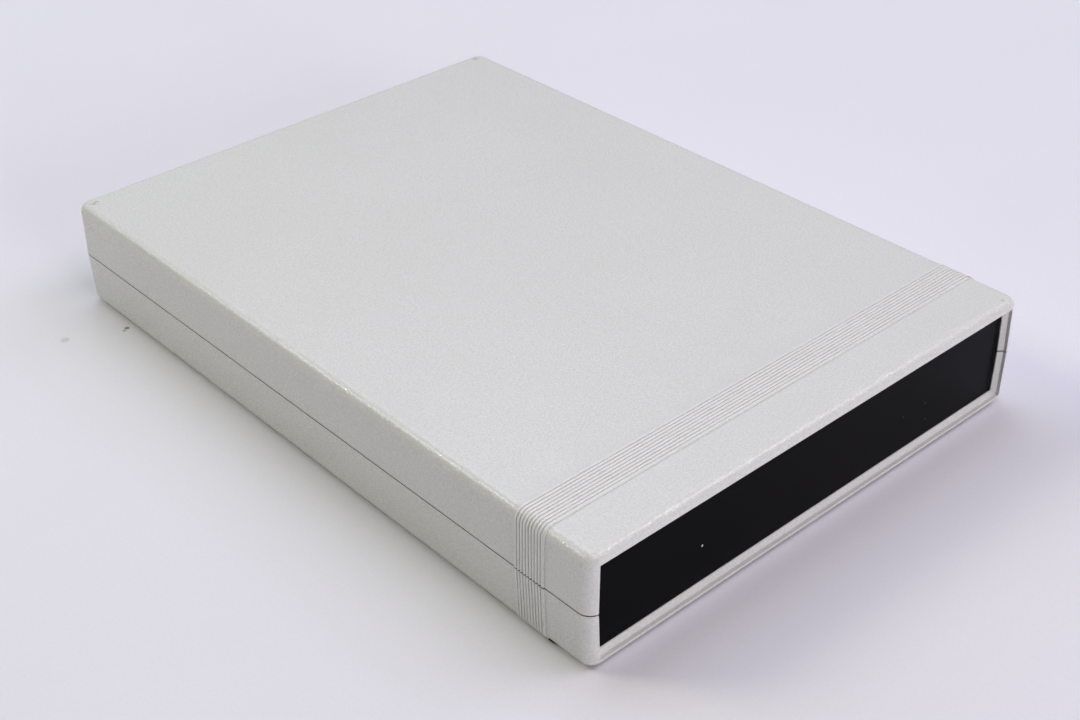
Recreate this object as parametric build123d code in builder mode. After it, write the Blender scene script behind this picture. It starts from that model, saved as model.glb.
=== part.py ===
# Low two-shell desktop instrument case in injection moulded plastic.
#
# A top shell and a bottom shell meet at a parting line half way up.  Between
# them they hold a flat panel at each end, in slots behind a bevelled lip.  A
# raised band of fine ribs runs round the case a little behind its front end.
# Four self-tapping screws enter from below and four rubber feet sit in round
# pockets.
#
# Frame: X is the width, Y the depth with the front end at -Y, Z is up.  The
# origin is on the surface that the feet stand on, under the middle of the case.
from build123d import *
import math
import os

os.makedirs("parts", exist_ok=True)

# ---------------------------------------------------------------- dimensions
width = 184.2            # across the case at the parting line
depth = 259.6            # front end to back end
half_height = 19.4       # height of each shell
foot_drop = 0.5          # how far the feet stand below the bottom shell
draft_deg = 1.4          # draft of the long sides
wall = 2.5               # general wall thickness
edge_r = 3.2             # rounding of the long and the end edges
corner_r = 4.2           # rounding of the four upright corners
parting_gap = 0.45       # shadow line between the shells

rim_t = 3.1              # rim thickness round each end opening
rim_deep = 1.15          # depth of the straight step inside the rim
lip_in = 4.55            # distance from the outside to the inner edge of the lip
side_more = 0.35         # how much thicker rim and lip are at the sides
bevel_end = 2.3          # depth at which the bevelled lip ends
lip_back = 2.6           # depth of the back of the lip, where the panel bears
panel_t = 2.0            # panel thickness
keeper_gap = 0.15        # play behind the panel
keeper_t = 1.6           # thickness of the rib behind the panel
keeper_in = 5.4          # distance from the outside to the edge of that rib
panel_play = 0.25        # play at the panel's sides and top

band_raise = 0.35        # height of the ribs over the surface
band_front = 17.2        # front of the band, from the front end
band_back = 29.1         # back of the band
groove_first = 18.55     # centre of the first groove
groove_pitch = 1.17
groove_count = 9
groove_w = 0.36
rib_round = 0.10         # broken edge of each rib

foot_r = 4.75
pocket_r = 5.0
pocket_deep = 1.3
front_foot_in = 6.35     # from the parting-line width to a front foot's centre
rear_foot_in = 8.2       # the same for a rear foot
foot_from_end = 17.1

screw_from_side = 9.5
screw_from_end = 38.0
boss_r = 4.9             # lower boss, round the counterbore
boss_top_r = 3.9         # upper boss
cbore_r = 3.3
cbore_deep = 11.0
clear_r = 1.7
pilot_r = 1.25
pilot_deep = 14.0

stand_x = 139.7          # board fixing pattern
stand_y = 177.8
stand_r = 3.3
stand_h = 5.0
stand_pilot_r = 1.1
stand_pilot_deep = 5.5

tongue_t = 1.1
tongue_down = 1.4
tongue_play = 0.15

# ---------------------------------------------------------------- derived
shrink = half_height * math.tan(math.radians(draft_deg))
z_floor = foot_drop                      # underside of the bottom shell
z_part = z_floor + half_height           # parting line
z_top = z_part + half_height             # upper face of the top shell
half_w = width / 2
half_d = depth / 2
front = -half_d


def at_y(y):
    """Upright plane across the case at this y, its normal towards the front."""
    return Plane(origin=(0, y, 0), x_dir=(1, 0, 0), z_dir=(0, -1, 0))


def section(inset, more=0.0):
    """Corners of the whole case's cross-section, moved inwards by inset.

    The two sides move inwards by a further amount, more.
    """
    a = half_w - inset - more
    b = half_w - shrink - inset - more
    lo = z_floor + inset
    hi = z_top - inset
    return [(-a, z_part), (-b, hi), (b, hi), (a, z_part), (b, lo), (-b, lo)]


def half_section(inset, up):
    """Corners of one shell's cross-section, closed along the parting line."""
    far = (z_top - inset) if up else (z_floor + inset)
    near = z_part + (parting_gap / 2 if up else -parting_gap / 2)
    b = half_w - shrink - inset
    a = half_w - inset - shrink * (parting_gap / 2) / half_height
    return [(-a, near), (-b, far), (b, far), (a, near)]


def far_corners(sketch):
    """Corners of a cross-section that lie away from the parting line."""
    return [v for v in sketch.vertices() if abs(v.Y - z_part) > 1.0]


# ---------------------------------------------------------------- end opening
# Everything that is open at one end: the straight step inside the rim, the
# bevel of the lip and the short straight land behind it.
with BuildPart() as end_cut:
    with BuildSketch(at_y(front - 2)):
        Polygon(*section(rim_t, side_more), align=None)
    extrude(amount=-(rim_deep + 2))
    with BuildSketch(at_y(front + rim_deep)):
        Polygon(*section(rim_t, side_more), align=None)
    with BuildSketch(at_y(front + bevel_end)):
        Polygon(*section(lip_in, side_more), align=None)
    loft(ruled=True)
    with BuildSketch(at_y(front + bevel_end)):
        Polygon(*section(lip_in, side_more), align=None)
    extrude(amount=-(lip_back - bevel_end + 0.5))
end_cut_back = end_cut.part.mirror(Plane.XZ)

# ---------------------------------------------------------------- keeper ribs
# The ring that stands behind each panel, before it is divided at the parting.
with BuildPart() as keeper:
    y0 = front + lip_back + panel_t + keeper_gap
    with BuildSketch(at_y(y0)):
        Polygon(*section(wall - 0.4), align=None)
    extrude(amount=-keeper_t)
    with BuildSketch(at_y(y0 - 1)) as hole:
        Polygon(*section(keeper_in), align=None)
        fillet(far_corners(hole), 1.0)
    extrude(amount=-(keeper_t + 2), mode=Mode.SUBTRACT)
keeper_back = keeper.part.mirror(Plane.XZ)

# ---------------------------------------------------------------- ribbed band
rib_spans = []
edge = band_front
for n in range(groove_count):
    centre = groove_first + n * groove_pitch
    rib_spans.append((edge, centre - groove_w / 2))
    edge = centre + groove_w / 2
rib_spans.append((edge, band_back))

with BuildPart() as band_top:
    for lo, hi in rib_spans:
        with BuildSketch(at_y(front + lo)) as sk:
            Polygon(*half_section(-band_raise, True), align=None)
            fillet(far_corners(sk), edge_r + band_raise)
        extrude(amount=-(hi - lo))
    outer_rings = [e for e in band_top.edges()
                   if abs((e @ 0).Y - (e @ 1).Y) < 1e-6
                   and e.center().Z > z_part + parting_gap / 2 + 0.01]
    chamfer(outer_rings, rib_round)
    with BuildSketch(at_y(front + band_front - 1)) as sk:
        Polygon(*section(1.3), align=None)
        fillet(far_corners(sk), edge_r - 1.3)
    extrude(amount=-(band_back - band_front + 2), mode=Mode.SUBTRACT)

with BuildPart() as band_bottom:
    for lo, hi in rib_spans:
        with BuildSketch(at_y(front + lo)) as sk:
            Polygon(*half_section(-band_raise, False), align=None)
            fillet(far_corners(sk), edge_r + band_raise)
        extrude(amount=-(hi - lo))
    outer_rings = [e for e in band_bottom.edges()
                   if abs((e @ 0).Y - (e @ 1).Y) < 1e-6
                   and e.center().Z < z_part - parting_gap / 2 - 0.01]
    chamfer(outer_rings, rib_round)
    with BuildSketch(at_y(front + band_front - 1)) as sk:
        Polygon(*section(1.3), align=None)
        fillet(far_corners(sk), edge_r - 1.3)
    extrude(amount=-(band_back - band_front + 2), mode=Mode.SUBTRACT)

# positions used by both shells
screw_x = half_w - screw_from_side
screw_y = half_d - screw_from_end
screw_spots = [(sx * screw_x, sy * screw_y) for sx in (-1, 1) for sy in (-1, 1)]
foot_in = {-1: front_foot_in, 1: rear_foot_in}
foot_spots = [(sx * (half_w - foot_in[sy]), sy * (half_d - foot_from_end))
              for sx in (-1, 1) for sy in (-1, 1)]
stand_spots = [(sx * stand_x / 2, sy * stand_y / 2)
               for sx in (-1, 1) for sy in (-1, 0, 1)]
tongue_half = half_d - 8.0
k_gap = (parting_gap / 2) / half_height

# ---------------------------------------------------------------- top shell
with BuildPart() as top_shell:
    near = z_part + parting_gap / 2
    with BuildSketch(Plane.XY.offset(near)):
        RectangleRounded(width - 2 * shrink * k_gap, depth, corner_r)
    with BuildSketch(Plane.XY.offset(z_top)):
        RectangleRounded(width - 2 * shrink, depth, corner_r)
    loft(ruled=True)
    fillet(top_shell.edges().group_by(Axis.Z)[-1], edge_r)
    # inside
    with BuildSketch(at_y(front + lip_back)) as sk:
        Polygon(*section(wall), align=None)
        fillet(far_corners(sk), 1.0)
    extrude(amount=-(depth - 2 * lip_back), mode=Mode.SUBTRACT)
    # upper screw bosses, tied to the side walls
    with BuildSketch(Plane.XY.offset(z_part)):
        with Locations(*screw_spots):
            Circle(boss_top_r)
    extrude(amount=half_height - wall + 0.3)
    with BuildSketch(Plane.XY.offset(z_part + 2.5)):
        with Locations(*[(sx * (half_w - wall - 2.0), sy * screw_y)
                         for sx in (-1, 1) for sy in (-1, 1)]):
            Rectangle(5.0, 1.6)
    extrude(amount=half_height - wall - 2.2)
    with Locations(*[(x, y, z_part) for x, y in screw_spots]):
        Cylinder(pilot_r, pilot_deep, align=(Align.CENTER, Align.CENTER, Align.MIN),
                 mode=Mode.SUBTRACT)
    # stiffening ribs under the top
    for x in (-46.0, 0.0, 46.0):
        with BuildSketch(Plane.XY.offset(z_top - wall - 1.6)):
            with Locations((x, 0)):
                Rectangle(1.4, depth - 40)
        extrude(amount=2.0)
    # tongue along each side
    with BuildSketch(Plane.XY.offset(z_part - tongue_down)):
        with Locations((-(half_w - wall + tongue_t / 2), 0),
                       (half_w - wall + tongue_t / 2, 0)):
            Rectangle(tongue_t, 2 * tongue_half)
    extrude(amount=tongue_down + parting_gap / 2 + 0.6)
    # panel keepers, cut off at the parting line
    add(keeper.part)
    add(keeper_back)
    add(band_top.part)
    # below the parting line only the tongue and the bosses remain
    with Locations((0, front + (half_d - tongue_half) / 2 - 0.05, near),
                   (0, -front - (half_d - tongue_half) / 2 + 0.05, near)):
        Box(width + 20, half_d - tongue_half, half_height + 5,
            align=(Align.CENTER, Align.CENTER, Align.MAX), mode=Mode.SUBTRACT)
    # end openings
    add(end_cut.part, mode=Mode.SUBTRACT)
    add(end_cut_back, mode=Mode.SUBTRACT)
top_shell.part.label = "top_shell"
export_step(top_shell.part, "parts/top_shell.step")

# ---------------------------------------------------------------- bottom shell
with BuildPart() as bottom_shell:
    near_low = z_part - parting_gap / 2
    with BuildSketch(Plane.XY.offset(z_floor)):
        RectangleRounded(width - 2 * shrink, depth, corner_r)
    with BuildSketch(Plane.XY.offset(near_low)):
        RectangleRounded(width - 2 * shrink * k_gap, depth, corner_r)
    loft(ruled=True)
    fillet(bottom_shell.edges().group_by(Axis.Z)[0], edge_r)
    # inside
    with BuildSketch(at_y(front + lip_back)) as sk:
        Polygon(*section(wall), align=None)
        fillet(far_corners(sk), 1.0)
    extrude(amount=-(depth - 2 * lip_back), mode=Mode.SUBTRACT)
    # lower screw bosses, tied to the side walls
    with BuildSketch(Plane.XY.offset(z_floor + wall - 0.3)):
        with Locations(*screw_spots):
            Circle(boss_r)
    extrude(amount=half_height - wall + 0.3)
    with BuildSketch(Plane.XY.offset(z_floor + wall - 0.3)):
        with Locations(*[(sx * (half_w - wall - 1.5), sy * screw_y)
                         for sx in (-1, 1) for sy in (-1, 1)]):
            Rectangle(4.0, 1.6)
    extrude(amount=half_height - wall - 2.2)
    # board pillars, each with three short webs
    with BuildSketch(Plane.XY.offset(z_floor + wall - 0.3)):
        with Locations(*stand_spots):
            Circle(stand_r)
    extrude(amount=stand_h + 0.3)
    with BuildSketch(Plane.XY.offset(z_floor + wall - 0.3)):
        with Locations(*stand_spots):
            Rectangle(13.0, 1.2)
            Rectangle(1.2, 13.0)
    extrude(amount=stand_h * 0.55)
    # stiffening ribs across the floor
    for y in (-46.0, 46.0):
        with BuildSketch(Plane.XY.offset(z_floor + wall - 0.3)):
            with Locations((0, y)):
                Rectangle(width - 2 * wall - 1.0, 1.4)
        extrude(amount=2.3)
    # panel keepers and ribbed band
    add(keeper.part)
    add(keeper_back)
    add(band_bottom.part)
    # above the parting line nothing of the end frames remains
    with Locations((0, front + (half_d - tongue_half) / 2 - 0.05, near_low),
                   (0, -front - (half_d - tongue_half) / 2 + 0.05, near_low)):
        Box(width + 20, half_d - tongue_half, half_height + 5,
            align=(Align.CENTER, Align.CENTER, Align.MIN), mode=Mode.SUBTRACT)
    # rebate for the tongue
    with BuildSketch(Plane.XY.offset(near_low)):
        with Locations((-(half_w - wall + tongue_t / 2 - 0.25), 0),
                       (half_w - wall + tongue_t / 2 - 0.25, 0)):
            Rectangle(tongue_t + 2 * tongue_play + 0.5, 2 * tongue_half + 2 * tongue_play)
    extrude(amount=-(tongue_down - parting_gap / 2 + 0.2), mode=Mode.SUBTRACT)
    # end openings
    add(end_cut.part, mode=Mode.SUBTRACT)
    add(end_cut_back, mode=Mode.SUBTRACT)
    # screw holes, countersunk deep from below
    with Locations(*[Location((x, y, z_floor), (180, 0, 0)) for x, y in screw_spots]):
        CounterBoreHole(clear_r, cbore_r, cbore_deep, half_height + 1)
    # board pilot holes
    with Locations(*[Location((x, y, z_floor + wall + stand_h)) for x, y in stand_spots]):
        Hole(stand_pilot_r, stand_pilot_deep)
    # pockets for the feet
    with Locations(*[(x, y, z_floor - 1) for x, y in foot_spots]):
        Cylinder(pocket_r, pocket_deep + 1, align=(Align.CENTER, Align.CENTER, Align.MIN),
                 mode=Mode.SUBTRACT)
bottom_shell.part.label = "bottom_shell"
export_step(bottom_shell.part, "parts/bottom_shell.step")

# ---------------------------------------------------------------- panels
# Each panel stands on the lower wall and bears against the back of the lip.
with BuildPart() as front_panel:
    with BuildSketch(at_y(front + lip_back)) as sk:
        a = half_w - wall - panel_play
        b = half_w - shrink - wall - panel_play
        Polygon((-a, z_part), (-b, z_top - wall - panel_play), (b, z_top - wall - panel_play),
                (a, z_part), (b, z_floor + wall), (-b, z_floor + wall), align=None)
        fillet(far_corners(sk), 1.2)
    extrude(amount=-panel_t)
front_panel.part.label = "front_panel"
export_step(front_panel.part, "parts/front_panel.step")

with BuildPart() as rear_panel:
    add(front_panel.part.mirror(Plane.XZ))
rear_panel.part.label = "rear_panel"
export_step(rear_panel.part, "parts/rear_panel.step")

# ---------------------------------------------------------------- case screws
# Pan head self-tapping screws with a cross recess, modelled as their plain
# envelope: full shank in the lower shell, core diameter in the upper pilot.
seat = z_floor + cbore_deep
with BuildPart() as case_screws:
    for x, y in screw_spots:
        with BuildSketch(Plane(origin=(x, y, 0), x_dir=(1, 0, 0), z_dir=(0, -1, 0))):
            with BuildLine():
                Line((0, seat - 2.2), (1.6, seat - 2.2))
                ThreePointArc((1.6, seat - 2.2), (2.55, seat - 1.75), (2.9, seat - 0.8))
                Polyline((2.9, seat - 0.8), (2.9, seat), (1.5, seat), (1.5, z_part - 0.3),
                         (1.15, z_part), (1.15, seat + 14.0), (0, seat + 16.0),
                         (0, seat - 2.2))
            make_face()
        revolve(axis=Axis((x, y, 0), (0, 0, 1)))
    with BuildSketch(Plane.XY.offset(seat - 2.3)):
        with Locations(*screw_spots):
            Rectangle(3.0, 0.75)
            Rectangle(0.75, 3.0)
    extrude(amount=1.3, mode=Mode.SUBTRACT)
case_screws.part.label = "case_screws"
export_step(case_screws.part, "parts/case_screws.step")

# ---------------------------------------------------------------- feet
foot_names = {(-1, -1): "foot_front_left", (1, -1): "foot_front_right",
              (-1, 1): "foot_rear_left", (1, 1): "foot_rear_right"}
for (sx, sy), name in foot_names.items():
    with BuildPart() as foot:
        with BuildSketch(Plane.XY):
            with Locations((sx * (half_w - foot_in[sy]), sy * (half_d - foot_from_end))):
                Circle(foot_r)
        extrude(amount=foot_drop + pocket_deep)
        fillet(foot.edges().group_by(Axis.Z)[0], 0.25)
    foot.part.label = name
    export_step(foot.part, "parts/" + name + ".step")
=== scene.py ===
import math

import bpy
from mathutils import Matrix, Vector


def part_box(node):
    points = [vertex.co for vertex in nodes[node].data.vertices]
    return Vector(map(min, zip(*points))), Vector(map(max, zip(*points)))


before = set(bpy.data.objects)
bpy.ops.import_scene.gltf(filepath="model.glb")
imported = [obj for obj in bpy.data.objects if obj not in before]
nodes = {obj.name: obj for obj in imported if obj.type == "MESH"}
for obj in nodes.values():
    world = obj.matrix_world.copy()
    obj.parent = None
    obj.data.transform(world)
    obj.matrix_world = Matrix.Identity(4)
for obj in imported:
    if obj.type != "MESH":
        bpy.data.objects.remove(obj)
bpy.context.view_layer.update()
scene = bpy.context.scene

# ------------------------------------------------------------------ node helpers


def new_material(name):
    mat = bpy.data.materials.new(name)
    mat.use_nodes = True
    tree = mat.node_tree
    tree.nodes.clear()
    out = tree.nodes.new("ShaderNodeOutputMaterial")
    bsdf = tree.nodes.new("ShaderNodeBsdfPrincipled")
    tree.links.new(bsdf.outputs["BSDF"], out.inputs["Surface"])
    coord = tree.nodes.new("ShaderNodeTexCoord")
    return mat, tree, bsdf, coord.outputs["Object"]


def math_node(tree, op, a, b=None, clamp=False):
    n = tree.nodes.new("ShaderNodeMath")
    n.operation = op
    n.use_clamp = clamp
    for i, v in enumerate((a, b)):
        if v is None:
            continue
        if isinstance(v, (int, float)):
            n.inputs[i].default_value = v
        else:
            tree.links.new(v, n.inputs[i])
    return n.outputs[0]


def noise(tree, vec, scale, detail=2.0, rough=0.5, distortion=0.0):
    n = tree.nodes.new("ShaderNodeTexNoise")
    n.inputs["Scale"].default_value = scale
    n.inputs["Detail"].default_value = detail
    n.inputs["Roughness"].default_value = rough
    n.inputs["Distortion"].default_value = distortion
    tree.links.new(vec, n.inputs["Vector"])
    return n.outputs["Fac"]


def remap(tree, value, lo, hi, to_lo, to_hi, smooth=False):
    n = tree.nodes.new("ShaderNodeMapRange")
    n.interpolation_type = "SMOOTHSTEP" if smooth else "LINEAR"
    n.inputs["From Min"].default_value = lo
    n.inputs["From Max"].default_value = hi
    n.inputs["To Min"].default_value = to_lo
    n.inputs["To Max"].default_value = to_hi
    tree.links.new(value, n.inputs["Value"])
    return n.outputs["Result"]


def mix_colour(tree, fac, a, b):
    n = tree.nodes.new("ShaderNodeMix")
    n.data_type = "RGBA"
    for key, v in (("Factor", fac), ("A", a), ("B", b)):
        sock = [s for s in n.inputs if s.name == key and
                (s.type == "RGBA" if key != "Factor" else s.type == "VALUE")][0]
        if isinstance(v, (int, float)):
            sock.default_value = v
        elif isinstance(v, tuple):
            sock.default_value = (*v, 1.0)
        else:
            tree.links.new(v, sock)
    return [s for s in n.outputs if s.type == "RGBA"][0]


def bump(tree, height, strength, distance, normal=None):
    n = tree.nodes.new("ShaderNodeBump")
    n.inputs["Strength"].default_value = strength
    n.inputs["Distance"].default_value = distance
    tree.links.new(height, n.inputs["Height"])
    if normal is not None:
        tree.links.new(normal, n.inputs["Normal"])
    return n.outputs["Normal"]


def facets(tree, vec, scale, tilt):
    """Small cells, each leaning its own way, as spark erosion leaves them; gives the normal."""
    cells = tree.nodes.new("ShaderNodeTexVoronoi")
    cells.inputs["Scale"].default_value = scale
    tree.links.new(vec, cells.inputs["Vector"])
    lean = tree.nodes.new("ShaderNodeVectorMath")
    lean.operation = "SUBTRACT"
    tree.links.new(cells.outputs["Color"], lean.inputs[0])
    lean.inputs[1].default_value = (0.5, 0.5, 0.5)
    small = tree.nodes.new("ShaderNodeVectorMath")
    small.operation = "SCALE"
    small.inputs["Scale"].default_value = tilt
    tree.links.new(lean.outputs["Vector"], small.inputs[0])
    face = tree.nodes.new("ShaderNodeNewGeometry")
    total = tree.nodes.new("ShaderNodeVectorMath")
    total.operation = "ADD"
    tree.links.new(face.outputs["Normal"], total.inputs[0])
    tree.links.new(small.outputs["Vector"], total.inputs[1])
    unit = tree.nodes.new("ShaderNodeVectorMath")
    unit.operation = "NORMALIZE"
    tree.links.new(total.outputs["Vector"], unit.inputs[0])
    return unit.outputs["Vector"]


def edge_mask(tree):
    """1 in the middle of a rounded upper edge, 0 on the flat faces."""
    face = tree.nodes.new("ShaderNodeNewGeometry")
    split = tree.nodes.new("ShaderNodeSeparateXYZ")
    tree.links.new(face.outputs["Normal"], split.inputs[0])
    off = math_node(tree, "ABSOLUTE", math_node(tree, "SUBTRACT", split.outputs["Z"], 0.76))
    return remap(tree, off, 0.04, 0.13, 1.0, 0.0, True)


def glint_dot_cells(tree, vec, scale, share):
    """Separate small dots, in about the given share of the cells."""
    cells = tree.nodes.new("ShaderNodeTexVoronoi")
    cells.inputs["Scale"].default_value = scale
    tree.links.new(vec, cells.inputs["Vector"])
    split = tree.nodes.new("ShaderNodeSeparateXYZ")
    tree.links.new(cells.outputs["Color"], split.inputs[0])
    chosen = math_node(tree, "LESS_THAN", split.outputs["X"], share)
    dot = remap(tree, cells.outputs["Distance"], 0.22, 0.42, 1.0, 0.0, True)
    return math_node(tree, "MULTIPLY", chosen, dot)


def spot_mask(tree, vec, centre, radius, soft):
    """1 inside a round spot on the object, falling to 0 over the soft edge."""
    n = tree.nodes.new("ShaderNodeVectorMath")
    n.operation = "DISTANCE"
    tree.links.new(vec, n.inputs[0])
    n.inputs[1].default_value = centre
    return remap(tree, n.outputs["Value"], radius, radius + soft, 1.0, 0.0, True)


# ------------------------------------------------------------------ materials


def case_plastic():
    """Light grey moulded plastic with a fine spark-eroded grain."""
    mat, tree, bsdf, vec = new_material("case_plastic_grained")
    grain = noise(tree, vec, 1500.0, 2.0, 0.6)
    fine = noise(tree, vec, 4200.0, 1.0, 0.5)
    broad = noise(tree, vec, 22.0, 3.0, 0.55)
    base = mix_colour(tree, remap(tree, broad, 0.35, 0.65, 0.0, 1.0),
                      (0.742, 0.738, 0.728), (0.762, 0.758, 0.750))
    base = mix_colour(tree, remap(tree, grain, 0.30, 0.70, 0.90, 0.0),
                      base, (0.640, 0.637, 0.625))
    # faint rubbed marks on the upper corners
    blotch = remap(tree, noise(tree, vec, 900.0, 3.0, 0.6), 0.42, 0.60, 0.0, 1.0, True)
    marks = None
    for centre, radius, strength in RUBBED:
        m = math_node(tree, "MULTIPLY", spot_mask(tree, vec, centre, radius, radius), strength)
        marks = m if marks is None else math_node(tree, "MAXIMUM", marks, m)
    base = mix_colour(tree, math_node(tree, "MULTIPLY", marks, blotch),
                      base, (0.31, 0.25, 0.22))
    split = tree.nodes.new("ShaderNodeSeparateXYZ")
    tree.links.new(vec, split.inputs[0])
    # ribs lightened: painted light, a paler colour that offsets the grooves rendering darker than
    # they look in the photograph, which doesn't show that the plastic itself is paler there
    along = math_node(tree, "ABSOLUTE", math_node(tree, "SUBTRACT", split.outputs["Y"], BAND_Y))
    rib_painted_light = remap(tree, along, BAND_HALF, BAND_HALF + 0.0004, 1.0, 0.0)
    base = mix_colour(tree, math_node(tree, "MULTIPLY", rib_painted_light, 0.60), base, (0.800, 0.794, 0.782))
    # painted shade: a small dark spot where the band's last groove runs over the right edge
    base = mix_colour(tree, spot_mask(tree, vec, BAND_END_PAINTED_SHADE, 0.0004, 0.0004),
                      base, (0.14, 0.13, 0.13))
    # painted shade: darker colour down in the parting gap between the halves
    off = math_node(tree, "ABSOLUTE", math_node(tree, "SUBTRACT", split.outputs["Z"], PARTING_Z))
    gap_painted_shade = math_node(tree, "LESS_THAN", off, PARTING_HALF)
    base = mix_colour(tree, gap_painted_shade, base, (0.42, 0.37, 0.33))
    # painted highlight: pale dots that stand in for the glitter of single grains along the rounded
    # edges
    painted_glints = math_node(tree, "MULTIPLY", edge_mask(tree), glint_dot_cells(tree, vec, 1350.0, 0.42))
    base = mix_colour(tree, math_node(tree, "MULTIPLY", painted_glints, 0.8), base, (0.97, 0.965, 0.945))
    tree.links.new(base, bsdf.inputs["Base Color"])
    glossy = math_node(tree, "MULTIPLY", painted_glints, -0.14)
    tree.links.new(math_node(tree, "ADD", remap(tree, fine, 0.3, 0.7, 0.23, 0.30), glossy),
                   bsdf.inputs["Roughness"])
    bsdf.inputs["IOR"].default_value = 1.52
    n = bump(tree, grain, 1.0, 0.00008, facets(tree, vec, 2400.0, 0.15))
    n = bump(tree, fine, 0.5, 0.00002, n)
    tree.links.new(n, bsdf.inputs["Normal"])
    return mat


def panel_black():
    """Satin black sheet with a few specks of lint."""
    mat, tree, bsdf, vec = new_material("panel_black_satin")
    grain = noise(tree, vec, 3200.0, 2.0, 0.5)
    broad = noise(tree, vec, 30.0, 3.0, 0.6)
    base = mix_colour(tree, remap(tree, broad, 0.35, 0.65, 0.0, 1.0),
                      (0.0003, 0.0002, 0.0005), (0.0007, 0.0005, 0.0010))
    for x, z, r, tone in LINT:
        base = mix_colour(tree, spot_mask(tree, vec, (x, PANEL_FACE, z), r, r * 0.8),
                          base, (tone, tone, tone))
    tree.links.new(base, bsdf.inputs["Base Color"])
    tree.links.new(remap(tree, broad, 0.3, 0.7, 0.19, 0.24), bsdf.inputs["Roughness"])
    bsdf.inputs["IOR"].default_value = 1.12
    tree.links.new(bump(tree, grain, 0.25, 0.00003), bsdf.inputs["Normal"])
    return mat


def foot_rubber():
    mat, tree, bsdf, vec = new_material("foot_rubber_matt")
    grain = noise(tree, vec, 1500.0, 3.0, 0.6)
    base = mix_colour(tree, remap(tree, grain, 0.35, 0.65, 0.0, 1.0),
                      (0.010, 0.010, 0.010), (0.020, 0.020, 0.019))
    tree.links.new(base, bsdf.inputs["Base Color"])
    tree.links.new(remap(tree, grain, 0.3, 0.7, 0.68, 0.85), bsdf.inputs["Roughness"])
    tree.links.new(bump(tree, grain, 0.4, 0.00005), bsdf.inputs["Normal"])
    return mat


def screw_steel():
    mat, tree, bsdf, vec = new_material("screw_zinc")
    cloud = noise(tree, vec, 600.0, 3.0, 0.6)
    grain = noise(tree, vec, 4000.0, 2.0, 0.5)
    base = mix_colour(tree, remap(tree, cloud, 0.35, 0.65, 0.0, 1.0),
                      (0.48, 0.48, 0.47), (0.62, 0.62, 0.60))
    tree.links.new(base, bsdf.inputs["Base Color"])
    tree.links.new(remap(tree, cloud, 0.3, 0.7, 0.28, 0.42), bsdf.inputs["Roughness"])
    bsdf.inputs["Metallic"].default_value = 1.0
    tree.links.new(bump(tree, grain, 0.3, 0.00002), bsdf.inputs["Normal"])
    return mat


def floor_paper():
    mat, tree, bsdf, vec = new_material("floor_paper")
    broad = noise(tree, vec, 9.0, 3.0, 0.5)
    fibre = noise(tree, vec, 900.0, 2.0, 0.6)
    base = mix_colour(tree, remap(tree, broad, 0.35, 0.65, 0.0, 1.0),
                      (0.763, 0.748, 0.807), (0.777, 0.762, 0.821))
    base = mix_colour(tree, remap(tree, fibre, 0.30, 0.70, 0.30, 0.0),
                      base, (0.700, 0.686, 0.740))
    for x, y, r, tone in CRUMBS:
        base = mix_colour(tree, spot_mask(tree, vec, (x, y, 0.0), r, r),
                          base, (tone, tone * 0.97, tone))
    tree.links.new(base, bsdf.inputs["Base Color"])
    bsdf.inputs["Roughness"].default_value = 0.75
    bsdf.inputs["IOR"].default_value = 1.3
    return mat


PANEL_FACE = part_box("front_panel")[0].y
LINT = [(-0.0473, 0.0176, 0.00024, 0.62), (0.0512, 0.0172, 0.00022, 0.035),
        (0.0406, 0.0173, 0.00022, 0.018), (0.0522, 0.0108, 0.00022, 0.018)]
RUBBED = [((-0.0879, 0.1247, 0.0393), 0.0008, 0.60), ((-0.0868, 0.1243, 0.0393), 0.0008, 0.60),
          ((0.0860, 0.1255, 0.0393), 0.0009, 0.50), ((0.0858, -0.1272, 0.0392), 0.0005, 0.35)]
# centre of the painted shade spot at the right end of the band
BAND_END_PAINTED_SHADE = (0.0897, -0.1118, 0.0394)
BAND_Y = -0.1066
BAND_HALF = 0.0053
CRUMBS = [(-0.0933, 0.1041, 0.0006, 0.30), (-0.0948, 0.1032, 0.0004, 0.42),
          (-0.1129, 0.1122, 0.0010, 0.62)]
PARTING_Z = 0.0199
PARTING_HALF = 0.00024

plastic = case_plastic()
finish_of = {
    "top_shell": plastic,
    "bottom_shell": plastic,
    "front_panel": panel_black(),
    "case_screws": screw_steel(),
    "foot_front_left": foot_rubber(),
}
finish_of["rear_panel"] = finish_of["front_panel"]
for other in ("foot_front_right", "foot_rear_left", "foot_rear_right"):
    finish_of[other] = finish_of["foot_front_left"]
for name, obj in nodes.items():
    obj.data.materials.clear()
    obj.data.materials.append(finish_of[name])

# ------------------------------------------------------------------ floor
bpy.ops.mesh.primitive_plane_add(size=8.0, location=(0.0, 0.0, 0.0))
floor = bpy.context.object
floor.name = "floor"
floor.data.materials.append(floor_paper())

# ------------------------------------------------------------------ light
AIM = Vector((0.0, 0.0, 0.02))


# The wide lamps shade only diffusely, apart from the three overhead, and the two glint lamps
# only shine: otherwise the low fill washes the top out to white when seen from the back.
def soft_lamp(name, direction, distance, size, power, colour, glossy=False, diffuse=True):
    data = bpy.data.lights.new(name, "AREA")
    data.shape = "DISK"
    data.size = size
    data.energy = power
    data.color = colour
    lamp = bpy.data.objects.new(name, data)
    scene.collection.objects.link(lamp)
    lamp.visible_glossy = glossy
    lamp.visible_diffuse = diffuse
    d = Vector(direction).normalized()
    lamp.location = AIM + d * distance
    lamp.rotation_mode = "QUATERNION"
    lamp.rotation_quaternion = d.to_track_quat("Z", "Y")
    return lamp


def bearing(azimuth, elevation):
    """Unit vector from the object towards a lamp; azimuth is from +X towards +Y."""
    a, e = math.radians(azimuth), math.radians(elevation)
    return (math.cos(a) * math.cos(e), math.sin(a) * math.cos(e), math.sin(e))


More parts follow.
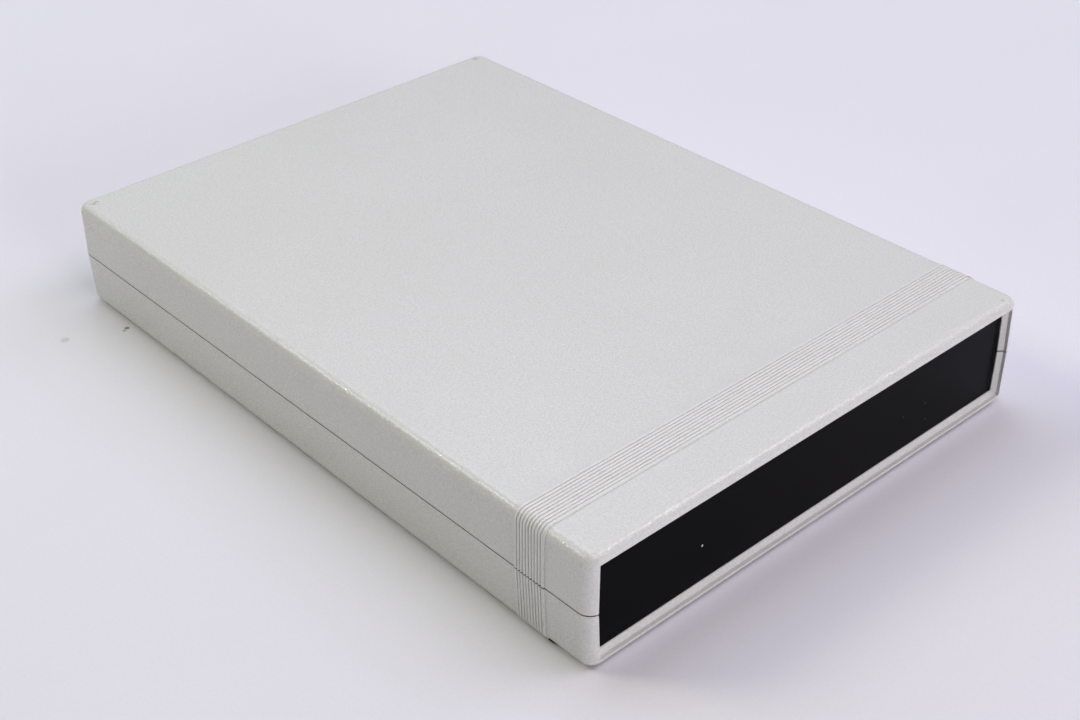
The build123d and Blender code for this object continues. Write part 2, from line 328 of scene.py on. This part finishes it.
soft_lamp("lamp_right", bearing(324, 47), 2.0, 1.0, 9.84, (0.810, 0.762, 1.0))
soft_lamp("lamp_left", bearing(130, 39), 2.0, 0.65, 11.90, (1.0, 0.991, 0.700))
soft_lamp("glint_right", bearing(324, 47), 2.0, 0.12, 5.0, (1.0, 1.0, 1.0), True, False)
soft_lamp("glint_left", bearing(130, 38), 2.0, 0.12, 5.0, (1.0, 1.0, 1.0), True, False)
soft_lamp("overhead", bearing(0, 90), 2.2, 1.6, 4.95, (1.0, 0.986, 0.606), glossy=True)
soft_lamp("overhead_back", bearing(60, 60), 2.2, 1.6, 15.00, (0.765, 0.837, 1.0), glossy=True)
soft_lamp("overhead_front", bearing(285, 60), 2.2, 1.4, 9.80, (1.0, 0.923, 0.884), glossy=True)
soft_lamp("fill_right", bearing(0, 35), 2.4, 1.2, 7.43, (0.860, 0.828, 1.0))
soft_lamp("fill_front", bearing(265, 15), 2.2, 0.9, 16.84, (1.0, 0.992, 0.979))
soft_lamp("fill_back", bearing(100, 30), 2.4, 1.2, 13.58, (0.633, 0.712, 1.0))

world = bpy.data.worlds.new("studio")
scene.world = world
world.use_nodes = True
world.node_tree.nodes["Background"].inputs["Color"].default_value = (1.0, 1.0, 1.0, 1.0)
world.node_tree.nodes["Background"].inputs["Strength"].default_value = 0.005

# ------------------------------------------------------------------ camera
cam_data = bpy.data.cameras.new("camera")
cam_data.sensor_fit = "HORIZONTAL"
cam_data.sensor_width = 36.0
cam_data.lens = 56.0377
cam_data.clip_start = 0.01
cam_data.clip_end = 20.0
camera = bpy.data.objects.new("camera", cam_data)
scene.collection.objects.link(camera)
right = Vector((0.7435954, -0.66842628, -0.01649841))
down = Vector((-0.38386986, -0.40657541, -0.82905993))
ahead = Vector((0.54745759, 0.62281839, -0.55891631))
camera.matrix_world = Matrix.Translation((-0.31176, -0.36257, 0.31657)) @ Matrix((
    (right.x, -down.x, -ahead.x, 0.0),
    (right.y, -down.y, -ahead.y, 0.0),
    (right.z, -down.z, -ahead.z, 0.0),
    (0.0, 0.0, 0.0, 1.0)))
scene.camera = camera

scene.view_settings.view_transform = "Standard"
scene.view_settings.look = "None"
